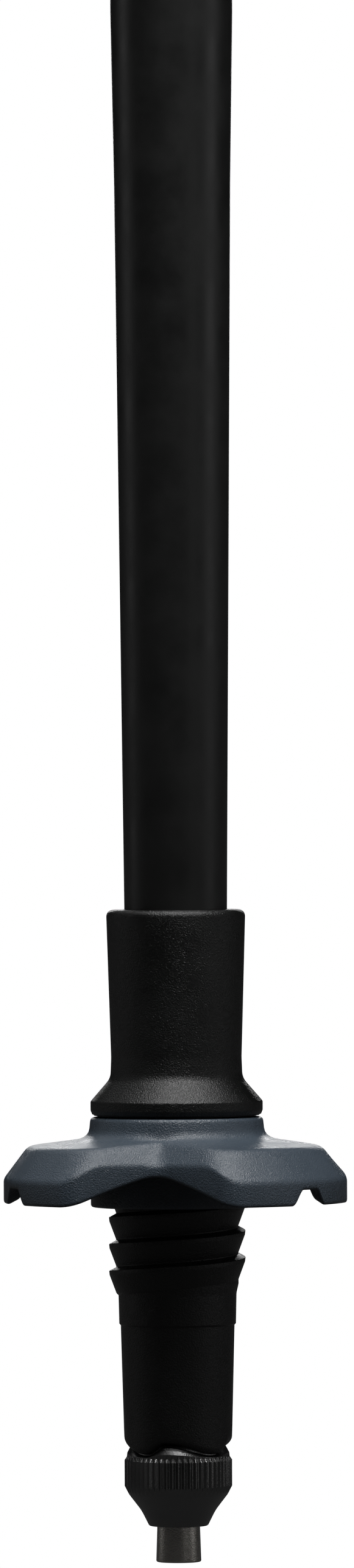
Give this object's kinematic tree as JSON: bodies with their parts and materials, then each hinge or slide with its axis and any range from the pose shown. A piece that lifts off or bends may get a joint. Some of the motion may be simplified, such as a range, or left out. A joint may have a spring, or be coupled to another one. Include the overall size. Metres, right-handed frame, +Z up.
{
  "type": "trekking pole lower end",
  "caption": "Lower end of a trekking pole: tapered shaft in a moulded ferrule, with a lobed screw-on snow basket and a screw-in knurled tip holding a hard point.",
  "frame": {"origin": "centre of the tip's foot, where it meets the ground", "axes": "+Z up along the shaft; -Y towards the front, between two lobes of the basket; +X to the right"},
  "size_m": [0.0398, 0.0389, 0.198],
  "materials": {
    "black_shaft": "satin black",
    "black_nylon": "fine grained black",
    "slate_nylon": "fine grained slate grey",
    "black_steel": "black coated, satin",
    "carbide": "ground gunmetal",
    "insert_brass": "turned",
    "black_rubber": "matt"
  },
  "bodies": {
    "pole": {"lower_shaft": "black_shaft", "shaft_plug": "black_nylon", "ferrule": "black_nylon", "threaded_insert": "insert_brass"},
    "washer": {"basket_washer": "black_rubber"},
    "basket": {"basket": "slate_nylon"},
    "seal": {"tip_seal": "black_rubber"},
    "tip": {"tip_holder": "black_steel", "hard_tip": "carbide"}
  },
  "joints": [
    {"name": "basket_travel", "type": "slide", "parent": "pole", "child": "washer", "axis": [0, 0, 1], "range_m": [-0.01867, 0]},
    {"name": "basket_turn", "type": "hinge", "parent": "washer", "child": "basket", "pos_m": [0, 0, 0.0465], "axis": [0, 0, 1], "range_deg": [-2160, 0]},
    {"name": "tip_travel", "type": "slide", "parent": "pole", "child": "seal", "axis": [0, 0, 1], "range_m": [-0.01001, 0]},
    {"name": "tip_turn", "type": "hinge", "parent": "seal", "child": "tip", "pos_m": [0, 0, 0.0105], "axis": [0, 0, 1], "range_deg": [-3600, 0]}
  ],
  "couplings": [
    {"joint": "basket_travel", "follows": "basket_turn", "m_per_rad": 0.00049497},
    {"joint": "tip_travel", "follows": "tip_turn", "m_per_rad": 0.00015915}
  ]
}
